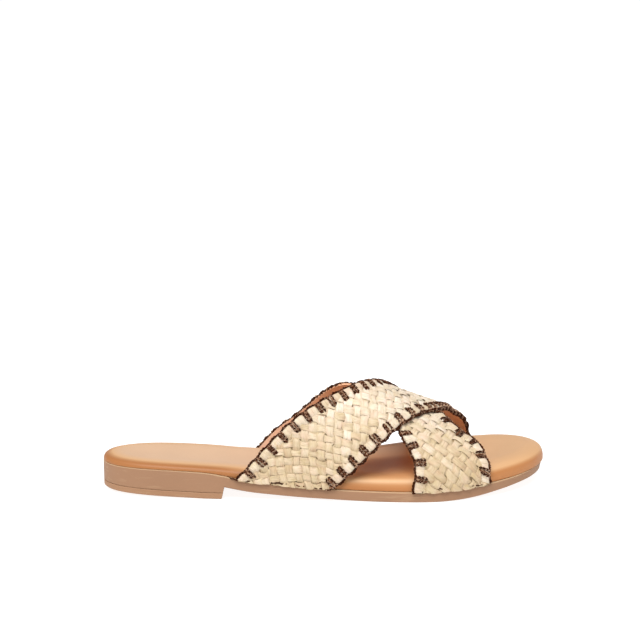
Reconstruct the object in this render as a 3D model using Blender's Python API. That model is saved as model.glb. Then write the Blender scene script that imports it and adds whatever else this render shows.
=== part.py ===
"""Right-foot mule sandal: outsole with a low heel, top lift, padded footbed and two crossed woven straps."""

import bpy
import numpy as np

OBJECT_NAME = "mule_sandal"
MM = 0.001

# Lengths are in millimetres. Stations run from the back of the heel to the toe.
# Medial is +Y and lateral is -Y, counted from the heel's axis.
LENGTH = 250.0
TOE_TIP_ACROSS = 5.2
HEEL_LENGTH = 66.8
BREAST_LEAN = 0.7
LIFT_LEAN = 0.6
BREAST_CLEARANCE = 0.5
LIFT_THICKNESS = 3.5
GAP = 0.3

# Half breadths of the sole's outline on each side of the heel's axis
SOLE_BREADTHS = {
    "station": (4.0, 20.0, 45.0, 75.0, 105.0, 130.0, 155.0, 178.0, 202.0, 224.0, 241.0),
    "medial": (12.0, 21.6, 23.6, 22.4, 22.0, 24.4, 33.2, 41.2, 42.6, 37.4, 27.0),
    "lateral": (12.4, 23.4, 28.4, 32.8, 36.4, 39.2, 42.4, 44.2, 40.2, 30.4, 16.6),
}
# Underside of the heel, flat over its front part
HEEL_UNDERSIDE = {
    "station": (0.0, 20.0, 36.0, 46.0, 57.0, HEEL_LENGTH),
    "height": (1.5, 1.25, 0.7, 0.35, 0.0, 0.0),
}
# Underside from the heel breast through the arch and the flat tread to the toe spring
FOREPART_UNDERSIDE = {
    "station": (HEEL_LENGTH, 80.0, 95.0, 110.0, 125.0, 138.0, 154.0, 170.0, 184.0, 202.0, 220.0, 235.0, LENGTH),
    "height": (6.8, 4.5, 3.0, 1.8, 1.0, 0.4, 0.0, 0.0, 0.0, 1.0, 3.3, 5.1, 6.4),
}
# Top edge of the outsole's side wall
SOLE_RIM = {
    "station": (
        0.0, 30.0, 50.0, 60.0, 67.0, 74.0, 82.0, 92.0, 105.0,
        125.0, 145.0, 165.0, 185.0, 205.0, 218.0, 228.0, 238.0, LENGTH,
    ),
    "height": (
        16.0, 15.8, 15.0, 14.2, 13.0, 11.6, 10.3, 9.2, 7.8,
        6.6, 5.8, 5.6, 6.0, 7.2, 8.2, 9.1, 10.3, 11.5,
    ),
}
FOOTBED = {
    "station": (
        0.0, 30.0, 50.0, 60.0, 67.0, 74.0, 82.0, 92.0, 105.0,
        125.0, 145.0, 165.0, 185.0, 205.0, 218.0, 228.0, 238.0, LENGTH,
    ),
    "thickness": (4.0, 3.3, 3.2, 3.5, 4.3, 5.2, 6.0, 6.5, 7.0, 7.2, 7.3, 7.7, 8.1, 8.3, 8.7, 9.0, 8.7, 8.7),
    "dish": (
        0.0, 0.43, 0.66, 0.7, 0.69, 0.64, 0.56, 0.45, 0.33,
        0.3, 0.39, 0.49, 0.49, 0.37, 0.27, 0.18, 0.09, 0.0,
    ),
}
# Ridge line of the instep, which the inside of the straps follows
INSTEP_CROWN = {
    "station": (60.0, 110.0, 130.0, 150.0, 165.0, 180.0, 205.0, 230.0),
    "height": (75.0, 69.0, 64.0, 56.2, 49.4, 43.2, 33.5, 26.0),
}
STRAP_FOOT_INSET = 0.9
STRAP_FOOT_RISE = 4.0

# Each strap is a row of sections across it, from its lateral foot to its medial foot.
# A share of -1 is the lateral side at the sole, 0 the crown and 1 the medial side at the sole.
TOP_STRAP = {
    "rear_station": (74.0, 90.0, 105.5, 119.0, 132.5, 144.0, 154.0, 162.5, 169.0, 173.5, 176.0),
    "rear_share": (-1.0, -0.725, -0.498, -0.353, -0.214, -0.084, 0.089, 0.298, 0.526, 0.764, 1.0),
    "front_station": (127.0, 132.5, 138.5, 148.0, 160.5, 173.0, 187.0, 197.7, 205.7, 211.2, 215.0),
    "front_share": (-1.0, -0.921, -0.838, -0.695, -0.511, -0.339, -0.134, 0.129, 0.396, 0.692, 1.0),
}
LOWER_STRAP = {
    "rear_station": (169.0, 169.8, 164.5, 161.7, 160.0, 154.0, 144.0, 133.5, 123.0, 109.2, 94.8, 81.5),
    "rear_share": (-1.0, -0.774, -0.556, -0.328, -0.099, 0.149, 0.243, 0.284, 0.407, 0.609, 0.784, 1.0),
    "front_station": (212.0, 211.2, 206.5, 197.0, 189.5, 182.0, 172.5, 163.5, 154.5, 145.5, 139.0, 134.0),
    "front_share": (-1.0, -0.78, -0.525, -0.357, -0.129, 0.169, 0.357, 0.487, 0.631, 0.764, 0.878, 1.0),
}
# Where the top strap rides over the lower one
CROSSING_STATION = 167.0
CROSSING_SHARE = -0.05
CROSSING_REACH = 26.0
CROSSING_SHARE_REACH = 0.6
CROSSING_FADE = 0.35
CROSSING_LIFT = 2.0

# Wall of a strap: plaited strips between two rolled edges
WEAVE_LOW = 2.2
WEAVE_HIGH = 2.9
WEAVE_ROWS = 48
WEAVE_COLUMNS = 10
RIDGE_REACH = 0.3
EDGE_ROLL = {
    "share_of_width": (0.0, 0.045, 0.115),
    "height": (1.3, 3.1, WEAVE_LOW),
}
LINING_COLUMNS = (0.03, 0.34, 0.66, 0.97)

# Sides of the sole pieces as rows of inset from the outline and rise above the piece's underside or top
SOLE_EDGE_INSET = 0.8
SOLE_EDGE_RISE = 0.7
RIM_EDGE = 0.45
GROOVE_EDGE = 0.4
# The toe end of the outsole tucks in below the footbed, twice as far at the foot of its wall
TOE_TUCK = {
    "station": (0.0, 222.0, 240.0, LENGTH),
    "inset": (0.0, 0.0, 0.4, 0.9),
}
# The footbed reaches the sole's outline at the heel and toe, and stays inside the straps between them
FOOTBED_EDGE = {
    "station": (0.0, 45.0, 60.0, 72.0, 216.0, 228.0, 240.0, LENGTH),
    "inset": (0.1, 0.1, 0.5, 1.2, 1.2, 0.6, 0.2, 0.1),
}
FOOTBED_FOOT_INSET = 0.3
FOOTBED_FOOT_RISE = 0.4
# Rolled edge of the footbed, with its depth below the top as a share of the thickness
FOOTBED_ROLL = {
    "inset": (0.0, 0.45, 1.5, 3.4, 6.5, 10.5),
    "depth_share": (0.76, 0.5, 0.27, 0.11, 0.025, 0.0),
}

STATIONS_PER_SIDE = 46
SPLINE_STEPS = 40
SECTION_STEPS = 72
CAP_COLUMNS = 6
CHORD_POWER = 0.7
SHARP_ANGLE_DEG = 35.0
# Steps over which the instep's slope is read
SLOPE_STATION_STEP = 0.5
SLOPE_SHARE_STEP = 0.01

COLOURS = {
    "outsole": ((0.36, 0.22, 0.14, 1.0), 0.55),
    "heel_top_lift": ((0.40, 0.24, 0.15, 1.0), 0.6),
    "footbed": ((0.66, 0.36, 0.19, 1.0), 0.5),
    "upper": ((0.72, 0.58, 0.36, 1.0), 0.7),
}


def smooth(places, values, at):
    """Cubic curve through the values of a table's column."""
    places = np.asarray(places, float)
    values = np.asarray(values, float)
    slopes = np.gradient(values, places)
    i = np.clip(np.searchsorted(places, at) - 1, 0, len(places) - 2)
    step = places[i + 1] - places[i]
    t = np.clip((at - places[i]) / step, 0.0, 1.0)
    rise = 3 * t**2 - 2 * t**3
    start = t**3 - 2 * t**2 + t
    stop = t**3 - t**2
    return values[i] * (1 - rise) + values[i + 1] * rise + step * (slopes[i] * start + slopes[i + 1] * stop)


def column(table, name, stations):
    return smooth(table["station"], table[name], stations)


def straight(table, name, stations):
    return np.interp(stations, table["station"], table[name])


def closed_spline(points):
    """Closed curve of even bending through the points, with its points listed from the first one round."""
    points = np.asarray(points, float)
    count = len(points)
    after = np.roll(points, -1, axis=0)
    span = np.linalg.norm(after - points, axis=1) ** CHORD_POWER
    span_before = np.roll(span, 1)
    slope = (after - points) / span[:, None]
    slope_before = np.roll(slope, 1, axis=0)
    matrix = np.zeros((count, count))
    for i in range(count):
        matrix[i, i - 1] = span[i]
        matrix[i, i] = 2 * (span[i] + span_before[i])
        matrix[i, (i + 1) % count] = span_before[i]
    tangents = np.linalg.solve(matrix, 3 * (span[:, None] * slope_before + span_before[:, None] * slope))
    t = np.linspace(0.0, 1.0, SPLINE_STEPS, endpoint=False)[:, None]
    rise = 3 * t**2 - 2 * t**3
    pieces = []
    for i in range(count):
        j = (i + 1) % count
        start = (t**3 - 2 * t**2 + t) * span[i] * tangents[i]
        stop = (t**3 - t**2) * span[i] * tangents[j]
        pieces.append(points[i] * (1 - rise) + points[j] * rise + start + stop)
    return np.concatenate(pieces)


def sole_sides():
    """The outline's medial and lateral halves as rows of station and distance across, heel to toe."""
    rows = list(zip(SOLE_BREADTHS["station"], SOLE_BREADTHS["medial"], SOLE_BREADTHS["lateral"]))
    medial = [(station, breadth) for station, breadth, _ in rows]
    lateral = [(station, -breadth) for station, _, breadth in reversed(rows)]
    curve = closed_spline([(0.0, 0.0)] + medial + [(LENGTH, TOE_TIP_ACROSS)] + lateral)
    half = SPLINE_STEPS * (len(rows) + 1)
    return curve[: half + 1], np.concatenate([curve[half:], curve[:1]])[::-1]


MEDIAL_SIDE, LATERAL_SIDE = sole_sides()


def across(side, stations):
    return np.interp(stations, np.maximum.accumulate(side[:, 0]), side[:, 1])


def inset_side(side, outward, stations, inset):
    """Points of one side of the outline, moved in from it at right angles."""
    index = np.interp(stations, np.maximum.accumulate(side[:, 0]), np.arange(len(side)))
    along = np.gradient(side, axis=0)
    along /= np.linalg.norm(along, axis=1)[:, None]
    points = np.empty((len(stations), 2))
    for axis in range(2):
        points[:, axis] = np.interp(index, np.arange(len(side)), side[:, axis])
    normal_x = np.interp(index, np.arange(len(side)), -outward * along[:, 1])
    normal_y = np.interp(index, np.arange(len(side)), outward * along[:, 0])
    return points - np.column_stack([inset * normal_x, inset * normal_y])


def rounded_stations(length, extra=()):
    """Stations from end to end, closer together at the round ends."""
    turn = np.linspace(0.0, np.pi, STATIONS_PER_SIDE + 1)
    return np.unique(np.round(np.concatenate([length * (1 - np.cos(turn)) / 2, extra]), 3))


def ring(stations, inset, heights):
    """Closed row of points: heel tip, medial side, toe tip and lateral side, at a height for each station.

    The inset is one length, or one for each station.
    """
    medial = np.column_stack([inset_side(MEDIAL_SIDE, 1, stations, inset), heights])
    lateral = np.column_stack([inset_side(LATERAL_SIDE, -1, stations, inset), heights])
    medial[0, 1] = lateral[0, 1] = (medial[0, 1] + lateral[0, 1]) / 2
    medial[-1, 1] = lateral[-1, 1] = (medial[-1, 1] + lateral[-1, 1]) / 2
    return np.concatenate([medial, lateral[-2:0:-1]])


class Shell:
    """Points and faces of one closed surface."""

    def __init__(self):
        self.points = []
        self.faces = []

    def add(self, rows):
        first = len(self.points)
        self.points.extend(np.asarray(rows, float))
        return np.arange(first, len(self.points))

    def band(self, lower, upper):
        """Quads between two closed rows that run medial side first, facing out."""
        count = len(lower)
        for i in range(count):
            j = (i + 1) % count
            self.faces.append((lower[j], lower[i], upper[i], upper[j]))

    def cap(self, row, columns, dish, facing_up):
        """Ribs from side to side of a closed ring, sunk by the dish for each rib."""
        half = len(row) // 2
        shares = np.linspace(0.0, 1.0, columns + 1)[1:-1]
        ribs = []
        for i in range(1, half):
            start = self.points[row[i]]
            stop = self.points[row[len(row) - i]]
            inner = [start + (stop - start) * share for share in shares]
            for point, share in zip(inner, shares):
                point[2] -= dish[i] * (1 - (2 * share - 1) ** 2)
            ribs.append([row[i], *self.add(inner), row[len(row) - i]])
        found = []
        for a, b in zip(ribs, ribs[1:]):
            found.extend((a[k], a[k + 1], b[k + 1], b[k]) for k in range(columns))
        found.extend((row[0], ribs[0][k + 1], ribs[0][k]) for k in range(columns))
        found.extend((row[half], ribs[-1][k], ribs[-1][k + 1]) for k in range(columns))
        self.faces.extend(face if facing_up else face[::-1] for face in found)


def make_object(name, shell, collection):
    mesh = bpy.data.meshes.new(name)
    points = [tuple(point * MM) for point in shell.points]
    faces = [tuple(map(int, face)) for face in shell.faces]
    mesh.from_pydata(points, [], faces)
    mesh.validate()
    mesh.shade_smooth()
    mesh.set_sharp_from_angle(angle=np.radians(SHARP_ANGLE_DEG))
    piece = bpy.data.objects.new(name, mesh)
    collection.objects.link(piece)
    return piece


def paint(piece):
    colour, roughness = COLOURS[piece.name]
    material = bpy.data.materials.new(piece.name)
    material.use_nodes = True
    shader = material.node_tree.nodes["Principled BSDF"]
    shader.inputs["Base Color"].default_value = colour
    shader.inputs["Roughness"].default_value = roughness
    shader.inputs["Metallic"].default_value = 0.0
    material.diffuse_color = colour
    piece.data.materials.append(material)


def heel_underside(stations):
    return np.maximum(column(HEEL_UNDERSIDE, "height", np.minimum(stations, HEEL_LENGTH)), 0.0)


def sole_underside(stations):
    """Underside of the outsole: above the top lift behind the breast, and the tread in front of it."""
    heel = heel_underside(stations) + LIFT_THICKNESS + GAP
    tread = np.maximum(column(FOREPART_UNDERSIDE, "height", np.maximum(stations, HEEL_LENGTH)), 0.0)
    return np.where(stations <= HEEL_LENGTH, heel, tread)


def sole_rim(stations):
    return column(SOLE_RIM, "height", stations)


def build_outsole(collection):
    flats = FOREPART_UNDERSIDE["station"]
    breast_top = HEEL_LENGTH + BREAST_LEAN
    stations = rounded_stations(LENGTH, (HEEL_LENGTH, breast_top, *flats[1:]))
    crowding = (stations > HEEL_LENGTH) & (stations < breast_top + BREAST_CLEARANCE) & (stations != breast_top)
    stations = stations[~crowding]
    heel = stations <= HEEL_LENGTH
    underside = sole_underside(stations)
    rim = sole_rim(stations)
    shell = Shell()
    tuck = straight(TOE_TUCK, "inset", stations)
    edge_inset = np.where(heel, GROOVE_EDGE, SOLE_EDGE_INSET)
    edge_rise = np.where(heel, GROOVE_EDGE, SOLE_EDGE_RISE)
    rows = [
        shell.add(ring(stations, 2 * tuck + edge_inset, underside)),
        shell.add(ring(stations, 2 * tuck, underside + edge_rise)),
        shell.add(ring(stations, tuck, rim - RIM_EDGE)),
        shell.add(ring(stations, tuck + RIM_EDGE, rim)),
    ]
    for lower, upper in zip(rows, rows[1:]):
        shell.band(lower, upper)
    level = np.zeros(len(stations))
    shell.cap(rows[0], 1, level, facing_up=False)
    shell.cap(rows[-1], 1, level, facing_up=True)
    return make_object("outsole", shell, collection)


def build_heel_top_lift(collection):
    """Plate under the heel, with its outline and a straight front."""
    stations = rounded_stations(LENGTH, HEEL_UNDERSIDE["station"])
    stations = stations[stations <= HEEL_LENGTH]
    underside = heel_underside(stations)
    top = underside + LIFT_THICKNESS
    shell = Shell()
    rows = [
        shell.add(heel_ring(stations, SOLE_EDGE_INSET, underside, LIFT_LEAN)),
        shell.add(heel_ring(stations, 0.0, underside + SOLE_EDGE_RISE, LIFT_LEAN)),
        shell.add(heel_ring(stations, 0.0, top - GROOVE_EDGE, 0.0)),
        shell.add(heel_ring(stations, GROOVE_EDGE, top, 0.0)),
    ]
    for lower, upper in zip(rows, rows[1:]):
        shell.band(lower, upper)
    count = len(stations)
    for row, facing_up in ((rows[0], False), (rows[-1], True)):
        for i in range(1, count - 1):
            face = (row[i], row[2 * count - 1 - i], row[2 * count - 2 - i], row[i + 1])
            shell.faces.append(face if facing_up else face[::-1])
        tip = (row[0], row[2 * count - 2], row[1])
        shell.faces.append(tip if facing_up else tip[::-1])
    return make_object("heel_top_lift", shell, collection)


def heel_ring(stations, inset, heights, lean):
    """Heel tip, medial side forward to the breast and lateral side back again, with the breast set back."""
    medial = np.column_stack([inset_side(MEDIAL_SIDE, 1, stations, inset), heights])
    lateral = np.column_stack([inset_side(LATERAL_SIDE, -1, stations, inset), heights])
    medial[0, 1] = (medial[0, 1] + lateral[0, 1]) / 2
    medial[-1, 0] = lateral[-1, 0] = HEEL_LENGTH - inset - lean
    return np.concatenate([medial, lateral[:0:-1]])


def build_footbed(collection):
    """Padded bed with a rolled upper edge, on the outsole."""
    stations = rounded_stations(LENGTH)
    underside = sole_rim(stations) + GAP
    thickness = column(FOOTBED, "thickness", stations)
    edge = straight(FOOTBED_EDGE, "inset", stations)
    shell = Shell()
    rows = [
        shell.add(ring(stations, edge + FOOTBED_FOOT_INSET, underside)),
        shell.add(ring(stations, edge, underside + FOOTBED_FOOT_RISE)),
    ]
    for inset, depth_share in zip(FOOTBED_ROLL["inset"], FOOTBED_ROLL["depth_share"]):
        rows.append(shell.add(ring(stations, edge + inset, underside + thickness * (1 - depth_share))))
    for lower, upper in zip(rows, rows[1:]):
        shell.band(lower, upper)
    shell.cap(rows[0], 1, np.zeros(len(stations)), facing_up=False)
    shell.cap(rows[-1], CAP_COLUMNS, column(FOOTBED, "dish", stations), facing_up=True)
    return make_object("footbed", shell, collection)


def instep(stations, shares):
    """Points of the instep's surface, by station and by share of the way down from the crown."""
    lateral = across(LATERAL_SIDE, stations) + STRAP_FOOT_INSET
    medial = across(MEDIAL_SIDE, stations) - STRAP_FOOT_INSET
    foot = sole_rim(stations) + GAP
    spring = foot + STRAP_FOOT_RISE
    rise = column(INSTEP_CROWN, "height", stations) - spring
    turn = np.linspace(0.0, np.pi, SECTION_STEPS + 1)
    points = np.empty((len(stations), 3))
    for n, (station, share) in enumerate(zip(stations, shares)):
        middle = (lateral[n] + medial[n]) / 2
        half = (medial[n] - lateral[n]) / 2
        y = np.concatenate([[lateral[n]], middle - half * np.cos(turn), [medial[n]]])
        z = np.concatenate([[foot[n]], spring[n] + rise[n] * np.sin(turn), [foot[n]]])
        walked = np.concatenate([[0.0], np.cumsum(np.hypot(np.diff(y), np.diff(z)))])
        place = (share + 1) / 2 * walked[-1]
        points[n] = station, np.interp(place, walked, y), np.interp(place, walked, z)
    return points


def instep_normal(stations, shares):
    """Outward direction of the instep's surface."""
    behind = instep(stations - SLOPE_STATION_STEP, shares)
    ahead = instep(stations + SLOPE_STATION_STEP, shares)
    lateral = instep(stations, np.maximum(shares - SLOPE_SHARE_STEP, -1.0))
    medial = instep(stations, np.minimum(shares + SLOPE_SHARE_STEP, 1.0))
    normal = np.cross(ahead - behind, medial - lateral)
    return normal / np.linalg.norm(normal, axis=1)[:, None]


def crossing_lift(stations, shares):
    """How far the top strap stands off the instep to clear the lower one."""
    from_station = (stations - CROSSING_STATION) / CROSSING_REACH
    from_share = (shares - CROSSING_SHARE) / CROSSING_SHARE_REACH
    past = np.clip((np.hypot(from_station, from_share) - 1.0) / CROSSING_FADE, 0.0, 1.0)
    return CROSSING_LIFT * (1 - past * past * (3 - 2 * past))


def strap_points(strap, rows, width_shares, heights, over_crossing):
    """Points of a strap by row along it, share of its width and height off its inner face."""
    order = np.arange(len(strap["rear_station"]))
    edges = {name: smooth(order, strap[name], rows) for name in strap}
    stations = edges["rear_station"] * (1 - width_shares) + edges["front_station"] * width_shares
    shares = edges["rear_share"] * (1 - width_shares) + edges["front_share"] * width_shares
    lift = crossing_lift(stations, shares) if over_crossing else 0.0
    return instep(stations, shares) + instep_normal(stations, shares) * (heights + lift)[:, None]


def build_strap(name, strap, over_crossing, collection):
    """One strap: hip-roofed strip crossings between rolled edges, and a plain inner face."""
    shell = Shell()
    last = len(strap["rear_station"]) - 1
    roll_shares = np.array(EDGE_ROLL["share_of_width"])
    roll_heights = np.array(EDGE_ROLL["height"])
    weave_shares = np.linspace(roll_shares[-1], 1 - roll_shares[-1], WEAVE_COLUMNS + 1)
    outer_shares = np.concatenate([roll_shares[:-1], weave_shares, 1 - roll_shares[-2::-1]])
    weave_heights = np.full(WEAVE_COLUMNS + 1, WEAVE_LOW)
    outer_heights = np.concatenate([roll_heights[:-1], weave_heights, roll_heights[-2::-1]])
    inner_shares = np.array(LINING_COLUMNS)
    outer = []
    inner = []
    for i in range(WEAVE_ROWS + 1):
        row = np.full(len(outer_shares), i * last / WEAVE_ROWS)
        outer.append(shell.add(strap_points(strap, row, outer_shares, outer_heights, over_crossing)))
        row = np.full(len(inner_shares), i * last / WEAVE_ROWS)
        inner.append(shell.add(strap_points(strap, row, inner_shares, np.zeros(len(row)), over_crossing)))
    first = len(roll_shares) - 1
    for i in range(WEAVE_ROWS):
        for j in list(range(first)) + list(range(first + WEAVE_COLUMNS, len(outer_shares) - 1)):
            shell.faces.append((outer[i][j], outer[i][j + 1], outer[i + 1][j + 1], outer[i + 1][j]))
        for j in range(len(inner_shares) - 1):
            shell.faces.append((inner[i][j + 1], inner[i][j], inner[i + 1][j], inner[i + 1][j + 1]))
        shell.faces.append((inner[i][0], outer[i][0], outer[i + 1][0], inner[i + 1][0]))
        shell.faces.append((outer[i][-1], inner[i][-1], inner[i + 1][-1], outer[i + 1][-1]))
    add_strip_crossings(shell, strap, outer, first, weave_shares, over_crossing)
    for row, start in ((0, True), (WEAVE_ROWS, False)):
        face = list(outer[row]) + list(inner[row][::-1])
        shell.faces.append(tuple(face[::-1]) if start else tuple(face))
    return make_object(name, shell, collection)


def add_strip_crossings(shell, strap, outer, first, weave_shares, over_crossing):
    """A raised ridge on each crossing of the strips, turned with the strip that lies on top there."""
    last = len(strap["rear_station"]) - 1
    row_step = last / WEAVE_ROWS
    share_step = weave_shares[1] - weave_shares[0]
    for i in range(WEAVE_ROWS + 1):
        for j in range(WEAVE_COLUMNS + 1):
            if (i + j) % 2:
                continue
            west = outer[i][first + j - 1] if j > 0 else None
            east = outer[i][first + j + 1] if j < WEAVE_COLUMNS else None
            south = outer[i - 1][first + j] if i > 0 else None
            north = outer[i + 1][first + j] if i < WEAVE_ROWS else None
            if None in (west, east, south, north):
                centre = outer[i][first + j]
                for a, b in ((east, north), (north, west), (west, south), (south, east)):
                    if a is not None and b is not None:
                        shell.faces.append((centre, a, b))
                continue
            lean = 1 if i % 2 else -1
            reach = np.array([-RIDGE_REACH, RIDGE_REACH])
            rows = (i + reach) * row_step
            shares = weave_shares[j] + lean * reach * share_step
            low, high = shell.add(strap_points(strap, rows, shares, np.full(2, WEAVE_HIGH), over_crossing))
            if lean > 0:
                shell.faces.extend([(south, east, high, low), (north, west, low, high)])
                shell.faces.extend([(east, north, high), (west, south, low)])
            else:
                shell.faces.extend([(west, south, low, high), (east, north, high, low)])
                shell.faces.extend([(north, west, high), (south, east, low)])


def build_upper(collection, cutters):
    """Both straps in one wall, joined where they cross."""
    upper = build_strap("upper", TOP_STRAP, True, collection)
    lower = build_strap("lower_strap_blank", LOWER_STRAP, False, cutters)
    lower.hide_render = True
    lower.display_type = "WIRE"
    join = upper.modifiers.new("crossing", "BOOLEAN")
    join.operation = "UNION"
    join.object = lower
    return upper


def main():
    for piece in list(bpy.data.objects):
        bpy.data.objects.remove(piece, do_unlink=True)
    parts = bpy.data.collections.new(OBJECT_NAME)
    cutters = bpy.data.collections.new(OBJECT_NAME + "_cutters")
    for collection in (parts, cutters):
        bpy.context.scene.collection.children.link(collection)
    pieces = [
        build_outsole(parts),
        build_heel_top_lift(parts),
        build_footbed(parts),
        build_upper(parts, cutters),
    ]
    for piece in pieces:
        paint(piece)
    stand_on_origin(parts, cutters)


def stand_on_origin(parts, cutters):
    """Centres the sandal over the origin through a parent empty."""
    bpy.context.view_layer.update()
    corners = np.array([corner for piece in parts.objects for corner in piece.bound_box])
    middle = (corners.min(axis=0) + corners.max(axis=0)) / 2
    base = bpy.data.objects.new(OBJECT_NAME, None)
    parts.objects.link(base)
    base.location = (-middle[0], -middle[1], 0.0)
    for piece in list(parts.objects) + list(cutters.objects):
        if piece != base:
            piece.parent = base


main()
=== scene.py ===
"""Looks of a right-foot mule sandal: crossed raffia straps on a leather footbed and a rubber sole."""

import math

import bpy
import numpy as np
from mathutils import Matrix, Vector


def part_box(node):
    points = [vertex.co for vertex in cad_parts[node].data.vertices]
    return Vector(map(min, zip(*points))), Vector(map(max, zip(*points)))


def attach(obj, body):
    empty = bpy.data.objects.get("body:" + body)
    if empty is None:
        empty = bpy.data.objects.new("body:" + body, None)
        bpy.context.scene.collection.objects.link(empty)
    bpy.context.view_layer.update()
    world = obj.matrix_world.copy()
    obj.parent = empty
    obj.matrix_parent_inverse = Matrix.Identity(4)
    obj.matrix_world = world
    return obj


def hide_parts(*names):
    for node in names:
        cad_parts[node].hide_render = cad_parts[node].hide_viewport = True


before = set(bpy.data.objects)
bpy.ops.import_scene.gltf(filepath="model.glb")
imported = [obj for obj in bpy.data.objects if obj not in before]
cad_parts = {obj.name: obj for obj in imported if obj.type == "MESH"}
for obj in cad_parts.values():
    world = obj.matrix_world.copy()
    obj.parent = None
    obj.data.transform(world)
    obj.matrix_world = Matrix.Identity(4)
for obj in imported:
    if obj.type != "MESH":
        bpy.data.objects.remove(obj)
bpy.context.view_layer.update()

MM = 0.001
RNG = np.random.default_rng(11)

# Sole and last, in millimetres. Stations run from the back of the heel to the toe.
# Medial is +Y and lateral is -Y, counted from the heel's axis.
LENGTH = 250
TOE_TIP_ACROSS = 5.2
HEEL_LENGTH = 66.8
BREAST_LEAN = 0.7
LIFT_LEAN = 0.6
BREAST_CLEARANCE = 0.5
LIFT_THICKNESS = 3.5
GAP = 0.3
SEAM = 0.14
SOLE_BREADTHS = {
    "station": (4, 20, 45, 75, 105, 130, 155, 178, 202, 224, 241),
    "medial": (12, 21.6, 23.6, 22.4, 22, 24.4, 33.2, 41.2, 42.6, 37.4, 27),
    "lateral": (12.4, 23.4, 28.4, 32.8, 36.4, 39.2, 42.4, 44.2, 40.2, 30.4, 16.6),
}
HEEL_UNDERSIDE = {
    "station": (0, 20, 36, 46, 57, HEEL_LENGTH),
    "height": (1.5, 1.25, 0.7, 0.35, 0, 0),
}
FOREPART_UNDERSIDE = {
    "station": (HEEL_LENGTH, 80, 95, 110, 125, 138, 154, 170, 184, 202, 220, 235, LENGTH),
    "height": (6.8, 4.5, 3, 1.8, 1, 0.4, 0, 0, 0, 1, 3.3, 5.1, 6.4),
}
RIM_STATIONS = (0, 30, 50, 60, 67, 74, 82, 92, 105, 125, 145, 165, 185, 205, 218, 228, 238, LENGTH)
SOLE_RIM = {
    "station": RIM_STATIONS,
    "height": (16, 15.8, 15, 14.2, 13, 11.6, 10.3, 9.2, 7.8, 6.6, 5.8, 5.6, 6, 7.2, 8.2, 9.1, 10.3, 11.5),
}
FOOTBED = {
    "station": RIM_STATIONS,
    "thickness": (4, 3.3, 3.2, 3.5, 4.3, 5.2, 6, 6.5, 7, 7.2, 7.3, 7.7, 8.1, 8.3, 8.7, 9, 8.7, 8.7),
    "dish": (
        0, 0.43, 0.66, 0.7, 0.69, 0.64, 0.56, 0.45, 0.33,
        0.3, 0.39, 0.49, 0.49, 0.37, 0.27, 0.18, 0.09, 0,
    ),
}
INSTEP_STATIONS = (55, 236)
INSTEP_CROWN = {
    "station": (60, 110, 130, 150, 165, 180, 205, 230),
    "height": (75, 69, 64, 56.2, 49.4, 43.2, 33.5, 26),
}
STRAP_FOOT_INSET = 0.9
STRAP_FOOT_RISE = 4
# Each strap is a row of sections across it, from its lateral foot to its medial foot.
# A share of -1 is the lateral side at the sole, 0 the crown and 1 the medial side at the sole.
TOP_STRAP = {
    "rear_station": (74, 90, 105.5, 119, 132.5, 144, 154, 162.5, 169, 173.5, 176),
    "rear_share": (-1, -0.725, -0.498, -0.353, -0.214, -0.084, 0.089, 0.298, 0.526, 0.764, 1),
    "front_station": (127, 132.5, 138.5, 148, 160.5, 173, 187, 197.7, 205.7, 211.2, 215),
    "front_share": (-1, -0.921, -0.838, -0.695, -0.511, -0.339, -0.134, 0.129, 0.396, 0.692, 1),
}
LOWER_STRAP = {
    "rear_station": (169, 169.8, 164.5, 161.7, 160, 154, 144, 133.5, 123, 109.2, 94.8, 81.5),
    "rear_share": (-1, -0.774, -0.556, -0.328, -0.099, 0.149, 0.243, 0.284, 0.407, 0.609, 0.784, 1),
    "front_station": (212, 211.2, 206.5, 197, 189.5, 182, 172.5, 163.5, 154.5, 145.5, 139, 134),
    "front_share": (-1, -0.78, -0.525, -0.357, -0.129, 0.169, 0.357, 0.487, 0.631, 0.764, 0.878, 1),
}
# Sides of a strap, with the sign of the way into it
INWARD = {"rear": 1, "front": -1}
CROSSING_STATION = 167
CROSSING_SHARE = -0.05
CROSSING_REACH = 26
CROSSING_SHARE_REACH = 0.6
CROSSING_FADE = 0.35
CROSSING_LIFT = 2

# Edges of the sole pieces
SOLE_EDGE_INSET = 0.8
SOLE_EDGE_RISE = 0.7
SOLE_WALL_SHARES = (0, 0.35, 0.7, 1)
SOLE_CAP_COLUMNS = 4
RIM_EDGE = 0.45
RIM_EDGE_TURNS_DEG = (30, 60, 90)
GROOVE_EDGE = 0.3
GROOVE_TINT = 0.2
# The toe end of the outsole tucks in below the footbed, twice as far at the foot of its wall
TOE_TUCK = {
    "station": (0, 222, 240, LENGTH),
    "inset": (0, 0, 0.4, 0.9),
}
# The footbed reaches the sole's outline at the heel and toe, and stays inside the straps between them
FOOTBED_EDGE = {
    "station": (0, 45, 60, 72, 216, 228, 240, LENGTH),
    "inset": (0.1, 0.1, 0.5, 1.2, 1.2, 0.6, 0.2, 0.1),
}
FOOTBED_FOOT_INSET = 0.2
FOOTBED_FOOT_RISE = 0.25
# Rolled edge of the footbed, with its depth below the top as a share of the thickness
FOOTBED_ROLL = {
    "inset": (0, 0.45, 1.5, 3.4, 6.5, 10.5),
    "depth_share": (0.76, 0.5, 0.27, 0.11, 0.025, 0),
}
ROLL_ROWS = 22
# Above 1, the rows of the roll lie closer together at its foot
ROLL_CROWDING = 1.3
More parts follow.
